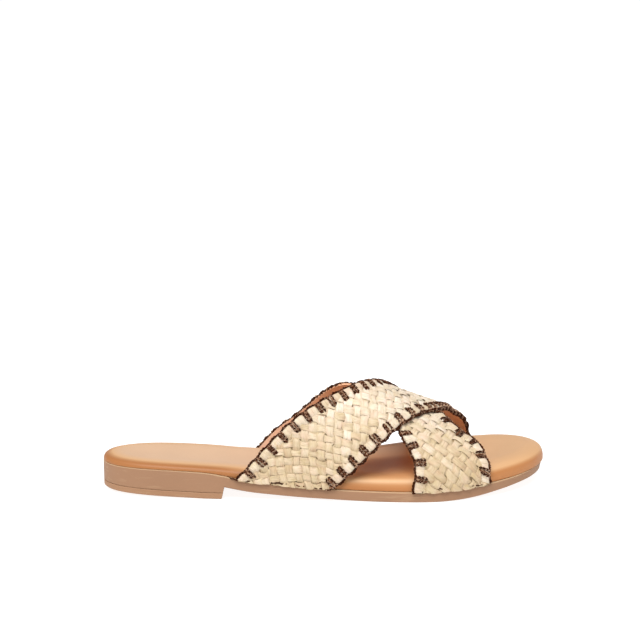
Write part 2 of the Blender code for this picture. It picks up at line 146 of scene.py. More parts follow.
# Tint of the footbed's edge by inset: full on the wall, half on the crest, none on the flat. On the wall the
# dark orange is partly the edge's own colour and partly painted shade, and it is taller round the heel. In
# the window between the straps the crest is painted pale as a highlight and the bed beyond it dark orange as
# painted shade.
EDGE_TONE_AND_PAINTED_LIGHT = {
    "inset": (0, 0.4, 0.8, 1.3, 2.1, 3.2, 6, 10.5),
    "heel": (1, 1, 1, 0.97, 0.92, 0.8, 0.35, 0),
    "toe": (1, 0.97, 0.84, 0.58, 0.38, 0.26, 0.12, 0),
    "window": (0.95, 0.82, 0.66, 0.45, 0.5, 0.7, 0.78, 0.8),
}
HEEL_STATIONS = (60, 120)
WINDOW_STATIONS = (104, 152, 164, 196)
# Painted shade on the bed below the straps, in the wall's dark orange, by share of the way from the medial to
# the lateral side
PAINTED_SHADE_BELOW_STRAPS = {
    "share": (0, 0.15, 0.3, 0.46, 0.6, 0.72, 0.85, 1),
    "tint": (0, 0.06, 0.4, 0.9, 1, 0.92, 0.82, 0.8),
}
STATIONS_PER_SIDE = 150
CAP_COLUMNS = 36
HIDDEN_CAP_COLUMNS = 2
SPLINE_STEPS = 40
CHORD_POWER = 0.7
SHARP_ANGLE_DEG = 35

# Plaited strips of raffia, at 45 degrees to each strap's middle line, as rising and falling families
WEAVES = {
    "top": {"pitch": (4.5, 4.5), "width": (3.45, 3.6), "tint": -0.01},
    "lower": {"pitch": (5.3, 4.3), "width": (3.3, 3.7), "tint": -0.075},
}
STRIP_WIDTH_SPREAD = 0.09
FLOAT_WIDTH_SPREAD = 0.1
FLOAT_ROLL = 0.16
FLOAT_FOLD = 0.1
STRIP_WANDER = 0.4
STRIP_LEVEL = 1.95
STRIP_THICKNESS = 0.34
FLOAT_RISE = 0.44
FLOAT_FLATNESS = 1.3
STEPS_PER_CROSSING = 8
STRIP_SECTION = {
    "side": (-1, -0.88, -0.45, 0, 0.45, 0.88, 1, 0),
    "up": (-0.25, 0.3, 0.52, 0.6, 0.52, 0.3, -0.25, -0.5),
    "fold": (0, 0, 1, -0.4, -0.8, 0, 0, 0),
}
STRIP_HIDDEN_AT_EDGE = 2.2
# A sheet behind the strips in the leaf's darkest tint, painted shade for the holes in the plait
BACKING_HEIGHT = 1.3
BACKING_INSET = 0.06
BACKING_SHADE_TINT = 0
# Wave of a strip, 1 on top and -1 where it is covered, over which it widens and is painted darker as shade
WIDENING_WAVE = (0.6, -0.6)
DARKENING_WAVE = (0.75, -0.1)
# Painted shade at the ends of the floats, where a strip dives under the crossing one
FLOAT_END_SHADE = 0.1
# Mean tint of the leaf at the crown and at the feet, where a lower tint paints shade, darker and yellower,
# and the girth shares in between
LEAF_TINT_AND_PAINTED_SHADE = (0.84, 0.36)
LEAF_TINT_SHARES = (0.25, 0.9)
LEAF_TINTS = (0.12, 1)
STRIP_TINT_SPREAD = 0.07
FLOAT_TINT_SPREAD = 0.075
# Shift of the fibres from strip to strip, from family to family and from pad to pad
STRIP_CHART_SHIFT = 97
FAMILY_CHART_SHIFT = 31
PAD_CHART_SHIFT = 53
STRIP_HANG = (0.1, 0.9)
PRESS_UNDER_CROSSING = 0.4
PRESS_REACH = (-2, 3)

# Rolled edge: raffia pads between bars of dark thread
PAD_SECTION = {
    "inward": (5.8, 4.8, 3.4, 2, 1.1, 0.75, 1, 1.6, 2.9, 4.5),
    "height": (1.6, 2.5, 2.9, 2.8, 2.3, 1.6, 1, 0.9, 0.9, 1),
}
PAD_CENTRE = (3.1, 1.7)
PAD_GIRTH = 14
PAD_GAP = 0.3
PAD_PINCH = 0.3
PAD_SWELL_SPREAD = 0.04
PAD_STEPS = 16
PAD_CREASE = 0.16
PAD_CREASE_COUNTS = (1, 2.4)
PAD_CREASE_SHIFT = 0.3
PAD_TINTS = (0.1, 1)
BAR_HALF_WIDTH = 1.5
# Path of a stitch from its inner end over the edge
BAR_PATH = {
    "inward": (7.2, 6.5, 5.4, 4, 2.6, 1.4, 0.6, 0.35, 0.4, 0.6),
    "height": (2.1, 2.6, 2.9, 3.05, 3, 2.7, 2.1, 1.5, 0.9, 0.5),
}
# Legs of a stitch beside each other, with the range of each one's tint
BAR_LEGS = ((-1, (0, 0.4)), (0, (0.4, 0.9)), (1, (0, 0.4)))
BAR_SPACING = {"rear": 1.1, "front": 1.35}
# Pitch of the stitches below which the legs move closer together
BAR_FULL_PITCH = 7.5
BAR_LEG_SPREAD = 0.22
BAR_LEG_LEAN = 0.35
# At the inner end of a stitch its legs close up, and each one ends at its own place
BAR_CLOSING = 0.3
BAR_CLOSING_END = 0.16
BAR_END_SPREAD = 1.2
BAR_END_SPREAD_END = 0.5
# Place, half breadth and greatest paleness of the bend over the edge
BAR_BEND_PLACE = 0.52
BAR_BEND_REACH = 0.07
BAR_BEND_PALENESS = 0.6
BAR_TWIST_RADIUS = 0.34
BAR_PLY_RADIUS = 0.35
BAR_TWIST_LENGTH = 2.9
BAR_STEPS = 46
STRANDS = (0, math.pi)
STRAND_SIDES = 6
HINT_STEP = 0.5
STITCH_PITCH_FOOT = 9.3
STITCH_PITCH_SHARES = (0.08, 0.5)
LAST_STITCH_FROM_END = 1
STITCHES = {
    ("top", "rear"): {"first": 8, "scale": 1, "crown_pitch": 5.6},
    ("top", "front"): {"first": 2.2, "scale": 0.96, "crown_pitch": 4.6},
    ("lower", "rear"): {"first": 8.3, "scale": 0.84, "crown_pitch": 7.2},
    ("lower", "front"): {"first": 5, "scale": 1, "crown_pitch": 7.2},
}
CORD_RADIUS = {"rear": 0.4, "front": 0.52}
CORD_TWIST_RADIUS = {"rear": 0.36, "front": 0.45}
CORD_TWIST_LENGTH = 3.6
CORD_BULGE_REACH = 3.6
# Distance into the strap at a stitch and between stitches, and height, of the outer and the inner cord
CORDS = ((1.35, 0.1, 1.6), (1.5, 0.75, 0.75))
CORD_STEP = 0.4
CORD_END = 0.3
CORD_TINTS = (0, 0.5)
# Dark thread showing below the straps, as shares of their width at each foot: partly stitching and partly a
# dark stand-in for the shade in the joint with the sole
FOOT_THREADS = {
    "top": ((-0.09, 0.17), (0.36, 0.52), (0.62, 0.7), (0.8, 0.97)),
    "lower": ((0, 0.13), (0.33, 0.4), (0.72, 0.9)),
}
FOOT_THREAD_RADIUS = 0.42
FOOT_THREAD_HEIGHT = 2.1
FOOT_THREAD_DROP = 0.4
FOOT_THREAD_POINTS = 130
FOOT_THREAD_TINTS = (0, 0.6)
# A thread that trails behind the strap lies down on the sole's rim between these shares
FOOT_THREAD_TRAIL = (-0.1, 0.03)
# Size and frequency of a thread's waves outwards and up and down
FOOT_THREAD_SWAY = (0.2, 110)
FOOT_THREAD_BOB = (0.15, 70)
# How far the rolled edge is drawn in, by girth: the lower strap's rear edge flares out where it goes
# under the top strap, and is drawn in on the medial half
DRAWN_IN = {
    ("lower", "rear"): (
        (-45, -42, -38.5, -36.5, -34, -30, -22, 8, 11, 14, 17, 20),
        (0, -0.3, -0.7, -1.4, -2, -2.6, 0, 0, 0.17, 0.55, 0.93, 1.1),
    ),
}
NOT_DRAWN_IN = ((0,), (0,))
LINING_THICKNESS = 1.15
LINING_FRONT_INSET = 0.034
LINING_REAR_INSET = {"top": 0.034, "lower": 0.05}

# Camera, fitted to the photograph's lines, with the image taken as 640 pixels square
IMAGE_SIDE = 640
CAMERA_PLACE = (-50.83, -790.88, 235.6)
CAMERA_AZIMUTH_DEG = 3.438
CAMERA_PITCH_DEG = 10.189
CAMERA_ROLL_DEG = 0.03
CAMERA_CLIP_M = (0.01, 50)
FOCAL_PIXELS = 1446.5
SENSOR_WIDTH = 36

# Studio, in metres
FLOOR_RADIUS = 12
FLOOR_SIDES = 96
FLOOR_DROP = 0.0001
KEY_LIGHT = {"place": (-0.2, -0.5, 1), "angle_deg": 40, "strength": 3.1}
# Brightness of the surroundings by height: white about the horizon and greyer overhead
SKY = ((0.05, 1), (0.14, 0.4))
SKY_STRENGTH = 1.05

WHITE = (1, 1, 1)


def hermite(t):
    """Weights of the far end and of the two end slopes of a cubic curve."""
    return 3 * t**2 - 2 * t**3, t**3 - 2 * t**2 + t, t**3 - t**2


def smooth(places, values, at):
    """Cubic curve through the values of a table's column."""
    places = np.asarray(places, float)
    values = np.asarray(values, float)
    slopes = np.gradient(values, places)
    i = np.clip(np.searchsorted(places, at) - 1, 0, len(places) - 2)
    step = places[i + 1] - places[i]
    rise, start, stop = hermite(np.clip((at - places[i]) / step, 0, 1))
    return values[i] * (1 - rise) + values[i + 1] * rise + step * (slopes[i] * start + slopes[i + 1] * stop)


def ease(low, high, value):
    t = np.clip((value - low) / (high - low), 0, 1)
    return t * t * (3 - 2 * t)


def column(table, name, stations):
    return smooth(table["station"], table[name], stations)


def straight(table, name, stations):
    return np.interp(stations, table["station"], table[name])


def unit(vectors):
    return vectors / np.linalg.norm(vectors, axis=-1)[..., None]


def turned(vectors):
    """Flat vectors turned by a right angle to the right."""
    return np.column_stack([vectors[:, 1], -vectors[:, 0]])


def lengths(points):
    """Length walked from the first point to each point."""
    return np.concatenate([[0], np.cumsum(np.linalg.norm(np.diff(points, axis=0), axis=1))])


def read_line(at, places, points):
    """Points of a flat line, read between the places of its points."""
    return np.stack([np.interp(at, places, points[:, axis]) for axis in range(2)], axis=-1)


def closed_spline(points):
    """Closed curve of even bending through the points, with its points listed from the first one round."""
    points = np.asarray(points, float)
    order = np.arange(len(points))
    after = np.roll(points, -1, axis=0)
    span = np.linalg.norm(after - points, axis=1) ** CHORD_POWER
    span_before = np.roll(span, 1)
    slope = (after - points) / span[:, None]
    slope_before = np.roll(slope, 1, axis=0)
    matrix = np.diag(2 * (span + span_before))
    matrix[order, order - 1] = span
    matrix[order, order + 1 - len(points)] = span_before
    tangents = np.linalg.solve(matrix, 3 * (span[:, None] * slope_before + span_before[:, None] * slope))
    share = np.linspace(0, 1, SPLINE_STEPS, endpoint=False)[:, None]
    rise, start, stop = hermite(share)
    start = start * (span[:, None] * tangents)[:, None]
    stop = stop * (span[:, None] * np.roll(tangents, -1, axis=0))[:, None]
    return (points[:, None] * (1 - rise) + after[:, None] * rise + start + stop).reshape(-1, 2)


def sole_sides():
    """The outline's medial and lateral halves as rows of station and distance across, heel to toe."""
    rows = list(zip(SOLE_BREADTHS["station"], SOLE_BREADTHS["medial"], SOLE_BREADTHS["lateral"]))
    medial = [(station, breadth) for station, breadth, _ in rows]
    lateral = [(station, -breadth) for station, _, breadth in reversed(rows)]
    curve = closed_spline([(0, 0)] + medial + [(LENGTH, TOE_TIP_ACROSS)] + lateral)
    half = SPLINE_STEPS * (len(rows) + 1)
    return curve[: half + 1], np.concatenate([curve[half:], curve[:1]])[::-1]


MEDIAL_SIDE, LATERAL_SIDE = sole_sides()
# The row's frame is centred on the sandal's box: the outsole's back end and lateral side give the shift
SOLE_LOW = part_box("outsole")[0]
SHIFT = np.array([-SOLE_LOW.x / MM, LATERAL_SIDE[:, 1].min() - SOLE_LOW.y / MM, 0])


def across(side, stations):
    return np.interp(stations, np.maximum.accumulate(side[:, 0]), side[:, 1])


def inset_side(side, hand, stations, inset):
    """Points of one side of the outline, moved in from it at right angles."""
    places = np.arange(len(side))
    at = np.interp(stations, np.maximum.accumulate(side[:, 0]), places)
    inward = hand * unit(turned(np.gradient(side, axis=0)))
    inset = np.broadcast_to(inset, len(stations))[:, None]
    return read_line(at, places, side) + inset * read_line(at, places, inward)


def rounded_stations(extra=()):
    """Stations from end to end, closer together at the round ends."""
    turn = np.linspace(0, np.pi, STATIONS_PER_SIDE + 1)
    return np.unique(np.round(np.concatenate([LENGTH * (1 - np.cos(turn)) / 2, extra]), 3))


def both_sides(stations, inset, heights):
    """Rows of points along the medial and the lateral side, with the medial one starting at the heel tip."""
    medial = np.column_stack([inset_side(MEDIAL_SIDE, 1, stations, inset), heights])
    lateral = np.column_stack([inset_side(LATERAL_SIDE, -1, stations, inset), heights])
    medial[0, 1] = (medial[0, 1] + lateral[0, 1]) / 2
    return medial, lateral


def ring(stations, inset, heights):
    """Closed row of points: heel tip, medial side, toe tip and lateral side, at a height for each station."""
    medial, lateral = both_sides(stations, inset, heights)
    medial[-1, 1] = (medial[-1, 1] + lateral[-1, 1]) / 2
    return np.concatenate([medial, lateral[-2:0:-1]])


def round_ring(values):
    """Values for the points of a ring, from those for its stations."""
    return np.concatenate([values, values[-2:0:-1]])


def heel_ring(stations, inset, heights, lean):
    """Heel tip, medial side forward to the breast and lateral side back again, with the breast set back."""
    medial, lateral = both_sides(stations, inset, heights)
    medial[-1, 0] = lateral[-1, 0] = HEEL_LENGTH - inset - lean
    return np.concatenate([medial, lateral[:0:-1]])


def heel_underside(stations):
    return np.maximum(column(HEEL_UNDERSIDE, "height", np.minimum(stations, HEEL_LENGTH)), 0)


def sole_underside(stations):
    """Underside of the outsole: above the top lift behind the breast, and the tread in front of it."""
    heel = heel_underside(stations) + LIFT_THICKNESS + SEAM
    tread = np.maximum(column(FOREPART_UNDERSIDE, "height", np.maximum(stations, HEEL_LENGTH)), 0)
    return np.where(stations <= HEEL_LENGTH, heel, tread)


def sole_rim(stations):
    return column(SOLE_RIM, "height", stations)


class Surface:
    """Points and faces of one piece, with a tint and a place on the strip for each point."""

    def __init__(self):
        self.points = []
        self.faces = []
        self.tints = []
        self.places = []
        self.count = 0

    def add(self, points, tint=0, places=None):
        """Adds points of any grid shape and returns their numbers in that shape."""
        shape = points.shape[:-1]
        total = int(np.prod(shape))
        self.points.append(points.reshape(-1, 3))
        self.tints.append(np.broadcast_to(np.asarray(tint, float), shape).reshape(-1))
        if places is None:
            places = np.zeros(shape + (2,))
        self.places.append(places.reshape(-1, 2))
        numbers = np.arange(self.count, self.count + total).reshape(shape)
        self.count += total
        return numbers

    def sheet(self, grid, flip=False):
        """Quads over an open grid."""
        quads = np.stack([grid[:-1, :-1], grid[:-1, 1:], grid[1:, 1:], grid[1:, :-1]], axis=-1)
        quads = quads.reshape(-1, 4)
        self.faces.extend((quads[:, ::-1] if flip else quads).tolist())

    def wrap(self, rows, flip=False):
        """Quads over rows that are closed."""
        self.sheet(np.column_stack([rows, np.array(rows)[:, 0]]), flip)

    def tube(self, grid):
        """Quads round a grid whose rows are closed sections, with both ends capped."""
        self.wrap(grid)
        self.faces.append(grid[0][::-1].tolist())
        self.faces.append(grid[-1].tolist())

    def cap(self, row, columns, dish, facing_up, tint=0):
        """Ribs from side to side of a closed ring, sunk by the dish for each rib."""
        points = np.concatenate(self.points)[row]
        half = len(row) // 2
        shares = np.linspace(0, 1, columns + 1)[1:-1]
        start = points[1:half]
        stop = points[: half : -1]
        inner = start[:, None] + (stop - start)[:, None] * shares[None, :, None]
        inner[:, :, 2] -= dish[1:half, None] * (1 - (2 * shares - 1) ** 2)
        numbers = self.add(inner, tint)
        ribs = np.column_stack([row[1:half], numbers, row[: half : -1]])
        self.sheet(ribs, flip=not facing_up)
        ends = [(row[0], ribs[0][k + 1], ribs[0][k]) for k in range(columns)]
        ends += [(row[half], ribs[-1][k], ribs[-1][k + 1]) for k in range(columns)]
        self.faces.extend(end if facing_up else end[::-1] for end in ends)

    def piece(self, name, material, solid):
        """Makes the object, in metres in the row's frame, and hides the solid that it stands for."""
        points = (np.concatenate(self.points) - SHIFT) * MM
        mesh = bpy.data.meshes.new(name)
        mesh.from_pydata(points.tolist(), [], [[int(n) for n in face] for face in self.faces])
        tint = mesh.attributes.new("tint", "FLOAT", "POINT")
        tint.data.foreach_set("value", np.concatenate(self.tints).astype(np.float32))
        corners = np.empty(len(mesh.loops), np.int32)
        mesh.loops.foreach_get("vertex_index", corners)
        chart = mesh.uv_layers.new(name="strip")
        chart.data.foreach_set("uv", np.concatenate(self.places)[corners].astype(np.float32).ravel())
        mesh.validate()
        mesh.shade_smooth()
        mesh.set_sharp_from_angle(angle=math.radians(SHARP_ANGLE_DEG))
        mesh.materials.append(material)
        made = bpy.data.objects.new(name, mesh)
        bpy.context.scene.collection.objects.link(made)
        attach(made, "root")
        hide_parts(solid)
        return made


class Instep:
    """The surface of the last under the straps, read from a fine table of stations and girth shares."""

    STATION_STEP = 0.5
    SHARE_COUNT = 401
    SECTION_STEPS = 240
    BELOW_ONE = 1.001

    def __init__(self):
        self.stations = np.arange(*INSTEP_STATIONS, self.STATION_STEP)
        shares = np.linspace(-1, 1, self.SHARE_COUNT)
        lateral = across(LATERAL_SIDE, self.stations) + STRAP_FOOT_INSET
        medial = across(MEDIAL_SIDE, self.stations) - STRAP_FOOT_INSET
        foot = sole_rim(self.stations) + GAP
        spring = foot + STRAP_FOOT_RISE
        rise = column(INSTEP_CROWN, "height", self.stations) - spring
        turn = np.linspace(0, np.pi, self.SECTION_STEPS + 1)
        self.points = np.empty((len(self.stations), self.SHARE_COUNT, 3))
        self.half_girth = np.empty(len(self.stations))
        for n, station in enumerate(self.stations):
            middle = (lateral[n] + medial[n]) / 2
            half = (medial[n] - lateral[n]) / 2
            y = np.concatenate([[lateral[n]], middle - half * np.cos(turn), [medial[n]]])
            z = np.concatenate([[foot[n]], spring[n] + rise[n] * np.sin(turn), [foot[n]]])
            section = np.column_stack([y, z])
            walked = lengths(section)
            self.points[n, :, 0] = station
            self.points[n, :, 1:] = read_line((shares + 1) / 2 * walked[-1], walked, section)
            self.half_girth[n] = walked[-1] / 2
        self.normals = unit(np.cross(np.gradient(self.points, axis=0), np.gradient(self.points, axis=1)))

    def girth(self, stations):
        """Length from crown to sole over one side."""
        return np.interp(stations, self.stations, self.half_girth)

    def girth_share(self, flat):
        """Share of the way from the crown to the sole, without its sign."""
        return np.abs(flat[..., 1]) / self.girth(flat[..., 0])

    def read(self, stations, girths):
        """Point, outward direction and girth share at a station and a length from the crown."""
        share = np.clip(girths / self.girth(stations), -1, 1)
        row = (stations - self.stations[0]) / self.STATION_STEP
        row = np.clip(row, 0, len(self.stations) - self.BELOW_ONE)
        col = np.clip((share + 1) / 2 * (self.SHARE_COUNT - 1), 0, self.SHARE_COUNT - self.BELOW_ONE)
        i = row.astype(int)
        j = col.astype(int)
        a = (row - i)[..., None]
        b = (col - j)[..., None]
        found = []
        for table in (self.points, self.normals):
            low = table[i, j] * (1 - b) + table[i, j + 1] * b
            high = table[i + 1, j] * (1 - b) + table[i + 1, j + 1] * b
            found.append(low * (1 - a) + high * a)
        return found[0], found[1], share


LAST = Instep()


def crossing_lift(stations, shares):
    """How far the top strap stands off the last to clear the lower one."""
    from_station = (stations - CROSSING_STATION) / CROSSING_REACH
    from_share = (shares - CROSSING_SHARE) / CROSSING_SHARE_REACH
    return CROSSING_LIFT * (1 - ease(1, 1 + CROSSING_FADE, np.hypot(from_station, from_share)))


class Strap:
    """One strap laid flat: stations and girth lengths of its edges, and its middle line."""

    EDGE_POINTS = 700
    MIDDLE_POINTS = 300
    MIDDLE_DEGREE = 4
    MIDDLE_OVERRUN = 40
    GRID_ROWS = 110
    GRID_COLUMNS = 26

    def __init__(self, table, covered_by=None):
        self.table = table
        self.covered_by = covered_by
        self.last_row = len(table["rear_station"]) - 1
        rows = np.linspace(0, self.last_row, self.EDGE_POINTS)
        self.edges = {side: self.flat_edge(side, rows) for side in INWARD}
        middle = (self.edges["rear"] + self.edges["front"]) / 2
        fits = [np.polynomial.Polynomial.fit(rows, values, self.MIDDLE_DEGREE) for values in middle.T]
        line = np.column_stack([fit(np.linspace(0, self.last_row, self.MIDDLE_POINTS)) for fit in fits])
        start = line[0] + unit(line[0] - line[1]) * self.MIDDLE_OVERRUN
        stop = line[-1] + unit(line[-1] - line[-2]) * self.MIDDLE_OVERRUN
        line = np.concatenate([[start], line, [stop]])
        walked = lengths(line)
        self.walk = np.linspace(0, walked[-1], 3 * self.MIDDLE_POINTS)
        self.line = read_line(self.walk, walked, line)
        self.side = unit(turned(np.gradient(self.line, axis=0)))
        self.limits = {}
        for name, edge in self.edges.items():
            along, beside = self.beside_middle(edge)
            order = np.argsort(along)
            self.limits[name] = (along[order], beside[order])

    def flat_edge(self, side, rows):
        order = np.arange(self.last_row + 1)
        stations = smooth(order, self.table[side + "_station"], rows)
        shares = smooth(order, self.table[side + "_share"], rows)
        return np.column_stack([stations, shares * LAST.girth(stations)])

    def beside_middle(self, flat):
        """Length along the middle line and distance to its front side of flat points."""
        apart = flat[..., None, :] - self.line
        near = np.argmin((apart**2).sum(axis=-1), axis=-1)
        beside = ((flat - self.line[near]) * self.side[near]).sum(axis=-1)
        return self.walk[near], beside

    def flat(self, along, beside):
        """Flat points by length along the middle line and distance to its front side."""
        line = read_line(along, self.walk, self.line)
        return line + beside[..., None] * read_line(along, self.walk, self.side)

    def depth(self, along, beside):
        """How far inside the strap's two edges a point lies."""
        rear = np.interp(along, *self.limits["rear"])
        front = np.interp(along, *self.limits["front"])
        return np.minimum(beside - rear, front - beside)

    def raised(self, flat, heights):
        """Points above flat places, over the other strap or pressed down below it."""
        points, normals, share = LAST.read(flat[..., 0], flat[..., 1])
        heights = np.broadcast_to(heights, share.shape)
        if self.covered_by is None:
            heights = heights + crossing_lift(flat[..., 0], share)
        else:
            depth = self.covered_by.depth(*self.covered_by.beside_middle(flat))
            heights = heights * (1 - PRESS_UNDER_CROSSING * ease(*PRESS_REACH, depth))
        return points + normals * heights[..., None]

    def ruled(self, rows, widths):
        """Flat points by row along the strap and share of its width."""
        rear = self.flat_edge("rear", rows)
        front = self.flat_edge("front", rows)
        return rear[:, None] * (1 - widths[:, None]) + front[:, None] * widths[:, None]

    def grid(self, rear_inset, front_inset):
        """Flat points all over the strap, but for shares of its width along its edges."""
        widths = np.linspace(rear_inset, 1 - front_inset, self.GRID_COLUMNS)
        return self.ruled(np.linspace(0, self.last_row, self.GRID_ROWS), widths)


class Edge:
    """One edge of a strap by its length, with the direction into the strap."""

    STEP = 0.25
    SMOOTHING_STEPS = 16

    def __init__(self, strap, title, side):
        self.strap = strap
        self.side = side
        self.drawn_in = DRAWN_IN.get((title, side), NOT_DRAWN_IN)
        flat = strap.edges[side]
        walked = lengths(flat)
        self.length = walked[-1]
        self.walk = np.arange(0, self.length, self.STEP)
        self.line = read_line(self.walk, walked, flat)
        kernel = np.hanning(2 * self.SMOOTHING_STEPS + 1)
        inward = INWARD[side] * turned(np.gradient(self.line, axis=0))
        padded = np.pad(inward, ((self.SMOOTHING_STEPS, self.SMOOTHING_STEPS), (0, 0)), mode="edge")
        even = [np.convolve(values, kernel / kernel.sum(), mode="valid") for values in padded.T]
        self.inward = unit(np.column_stack(even))
        self.stitches = self.whip_stitches(**STITCHES[title, side])

    def raised(self, walk, inward, heights):
        """Points at lengths along the edge, distances into the strap and heights off the last."""
        line = read_line(walk, self.walk, self.line)
        inward = inward + np.interp(line[..., 1], *self.drawn_in)
        flat = line + read_line(walk, self.walk, self.inward) * inward[..., None]
        return self.strap.raised(flat, heights)

    def whip_stitches(self, first, scale, crown_pitch):
        """Lengths along the edge of the whip stitches, closer together over the crown."""
        places = [first]
        while True:
            low = ease(*STITCH_PITCH_SHARES, LAST.girth_share(read_line(places[-1], self.walk, self.line)))
            step = scale * (crown_pitch + (STITCH_PITCH_FOOT - crown_pitch) * low)
            if places[-1] + step > self.length - LAST_STITCH_FROM_END:
                return np.array(places)
            places.append(places[-1] + step)


def sweep(surface, path, hint, radius, tint):
    """A round strand along a path, with its sections turned by the hint direction."""
    tangent = unit(np.gradient(path, axis=0))
    first = unit(hint - (hint * tangent).sum(axis=1)[:, None] * tangent)
    second = np.cross(tangent, first)
    turn = np.linspace(0, 2 * np.pi, STRAND_SIDES, endpoint=False)
    section = np.cos(turn)[:, None] * first[:, None] + np.sin(turn)[:, None] * second[:, None]
    places = np.stack(np.broadcast_arrays(lengths(path)[:, None], turn), axis=-1)
    surface.tube(surface.add(path[:, None] + section * radius, tint, places))


def outsole(material):
    """Moulded sole with its heel block, closed on top and underneath."""
    breast_top = HEEL_LENGTH + BREAST_LEAN
    stations = rounded_stations((HEEL_LENGTH, breast_top, *FOREPART_UNDERSIDE["station"][1:]))
    crowding = (stations > HEEL_LENGTH) & (stations < breast_top + BREAST_CLEARANCE)
    stations = stations[~crowding | (stations == breast_top)]
    heel = stations <= HEEL_LENGTH
    underside = sole_underside(stations)
    rim = sole_rim(stations)
    tuck = straight(TOE_TUCK, "inset", stations)
    edge_inset = np.where(heel, GROOVE_EDGE, SOLE_EDGE_INSET)
    wall_low = underside + np.where(heel, GROOVE_EDGE, SOLE_EDGE_RISE)
    wall_high = rim - RIM_EDGE
    groove = round_ring(np.where(heel, GROOVE_TINT, 0))
    surface = Surface()
    rows = [surface.add(ring(stations, 2 * tuck + edge_inset, underside), groove)]
    for share in SOLE_WALL_SHARES:
        height = wall_low + (wall_high - wall_low) * share
        rows.append(surface.add(ring(stations, tuck * (2 - share), height)))
    # Rows of the rounded rim take the paler rim colour, a painted highlight along the top edge
    for turn in np.radians(RIM_EDGE_TURNS_DEG):
        inset = RIM_EDGE * (1 - math.cos(turn))
        rise = RIM_EDGE * (math.sin(turn) - 1)
        rows.append(surface.add(ring(stations, tuck + inset, rim + rise), 1))
    surface.wrap(rows, flip=True)
    level = np.zeros(len(stations))
    surface.cap(rows[0], SOLE_CAP_COLUMNS, level, facing_up=False)
    surface.cap(rows[-1], SOLE_CAP_COLUMNS, level, facing_up=True)
    surface.piece("outsole_rubber", material, "outsole")


def heel_top_lift(material):
    """Plate under the heel, with its outline and a straight front."""
    stations = rounded_stations(HEEL_UNDERSIDE["station"])
    stations = stations[stations <= HEEL_LENGTH]
    underside = heel_underside(stations)
    top = underside + LIFT_THICKNESS
    surface = Surface()
    rows = [
        surface.add(heel_ring(stations, SOLE_EDGE_INSET, underside, LIFT_LEAN)),
        surface.add(heel_ring(stations, 0, underside + SOLE_EDGE_RISE, LIFT_LEAN)),
        surface.add(heel_ring(stations, 0, top - GROOVE_EDGE, 0)),
        surface.add(heel_ring(stations, GROOVE_EDGE, top, 0), GROOVE_TINT),
    ]
    surface.wrap(rows, flip=True)
    count = len(stations)
    for row, flip in ((rows[0], True), (rows[-1], False)):
        surface.sheet(np.column_stack([row[1:count], row[: count - 1 : -1]]), flip)
        tip = (row[0], row[-1], row[1])
        surface.faces.append(tip[::-1] if flip else tip)
    surface.piece("heel_top_lift_rubber", material, "heel_top_lift")


def footbed(material):
    """Leather over padding, rolled round its edge."""
    stations = rounded_stations()
    underside = sole_rim(stations) + SEAM
    thickness = column(FOOTBED, "thickness", stations)
    edge = straight(FOOTBED_EDGE, "inset", stations)
    window = ease(*WINDOW_STATIONS[:2], stations) * (1 - ease(*WINDOW_STATIONS[2:], stations))
    inset = np.array(FOOTBED_ROLL["inset"])
    depth = np.array(FOOTBED_ROLL["depth_share"])
    walked = lengths(np.column_stack([inset, depth * thickness.mean()]))
    surface = Surface()
    rows = [
        surface.add(ring(stations, edge + FOOTBED_FOOT_INSET, underside), 1),
        surface.add(ring(stations, edge, underside + FOOTBED_FOOT_RISE), 1),
    ]
    for place in walked[-1] * np.linspace(0, 1, ROLL_ROWS) ** ROLL_CROWDING:
        over = smooth(walked, inset, place)
        down = smooth(walked, depth, place)
        at_heel, at_toe, in_window = (
            np.interp(over, EDGE_TONE_AND_PAINTED_LIGHT["inset"], EDGE_TONE_AND_PAINTED_LIGHT[part]) for part in ("heel", "toe", "window")
        )
        # Edge tint: dark orange on the wall, partly own colour and partly painted shade; between the straps a
        # painted crest highlight and painted shade
        edge_tone_and_painted_light = at_heel + (at_toe - at_heel) * ease(*HEEL_STATIONS, stations)
        edge_tone_and_painted_light = round_ring(edge_tone_and_painted_light + (in_window - edge_tone_and_painted_light) * window)
        rows.append(surface.add(ring(stations, edge + over, underside + thickness * (1 - down)), edge_tone_and_painted_light))
    surface.wrap(rows, flip=True)
    surface.cap(rows[0], HIDDEN_CAP_COLUMNS, np.zeros(len(stations)), facing_up=False)
    shares = np.linspace(0, 1, CAP_COLUMNS + 1)[1:-1]
    # Painted shade: the bed below the straps is tinted towards the wall's dark orange
    wear_and_painted_shade = np.interp(shares, PAINTED_SHADE_BELOW_STRAPS["share"], PAINTED_SHADE_BELOW_STRAPS["tint"])
    dish = column(FOOTBED, "dish", stations)
    surface.cap(rows[-1], CAP_COLUMNS, dish, facing_up=True, tint=window[1:-1, None] * wear_and_painted_shade)
    made = surface.piece("footbed_leather", material, "footbed")


def lining(strap, rear_inset):
    """Leather lining of a strap, from its inner face to the back of the plaiting."""
    surface = Surface()
    flat = strap.grid(rear_inset, LINING_FRONT_INSET)
    inner = surface.add(strap.raised(flat, 0))
    outer = surface.add(strap.raised(flat, LINING_THICKNESS))
    surface.sheet(inner, flip=True)
    surface.sheet(outer)
    rims = (
        (inner[:, 0], outer[:, 0]),
        (outer[:, -1], inner[:, -1]),
        (outer[0], inner[0]),
        (inner[-1], outer[-1]),
    )
    for rim in rims:
        surface.sheet(np.column_stack(rim))
    return surface


